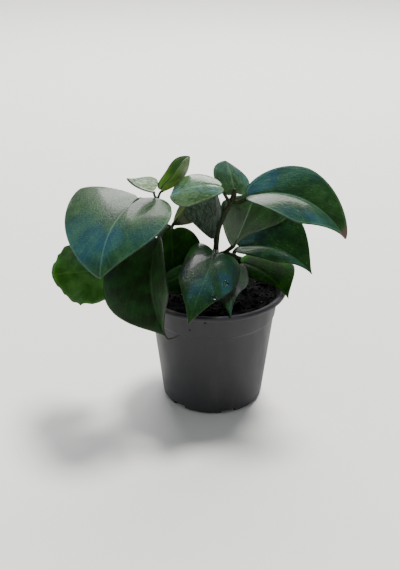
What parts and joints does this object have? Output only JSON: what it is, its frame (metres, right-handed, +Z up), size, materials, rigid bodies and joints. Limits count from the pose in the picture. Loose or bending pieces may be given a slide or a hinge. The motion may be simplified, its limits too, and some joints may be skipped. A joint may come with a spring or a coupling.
{
  "type": "potted hoya plant",
  "caption": "Young hoya with thick, glossy, heart-shaped leaves on arching stems, growing in a round dark-grey plastic nursery pot filled with soil.",
  "frame": {"origin": "centre of the pot's flat foot, on the surface that the pot stands on", "axes": "+Z up along the pot's axis, -Y towards the viewer of the picture, +X to the viewer's right"},
  "size_m": [0.2279, 0.1375, 0.206],
  "materials": {
    "pot": "thin thermoformed polypropylene, dark grey, satin",
    "soil": "moist peat and bark potting mix with a few pale grains",
    "stem": "olive-brown young bark, satin",
    "leaf": "thick waxy leaf, dark green, glossy, with paler ribs and fine silvery flecks",
    "young_leaf": "young waxy leaf, light olive green, glossy"
  },
  "bodies": {
    "root": {"stem_right": "stem", "stem_left": "stem", "pot": "pot", "soil": "soil", "leaf_left_large": "leaf", "leaf_left_low": "leaf", "leaf_front_left": "leaf", "leaf_front_middle": "leaf", "leaf_front_small": "leaf", "leaf_right_low": "leaf", "leaf_right_middle": "leaf", "leaf_right_large": "leaf", "leaf_top_heart": "leaf", "leaf_top_middle": "leaf", "leaf_tip_flat": "young_leaf", "leaf_tip_cupped": "young_leaf", "leaf_back_middle": "leaf", "leaf_back_right": "leaf", "leaf_inner_hanging": "leaf", "leaf_inner_upright": "leaf", "leaf_inner_left": "leaf"}
  },
  "joints": []
}
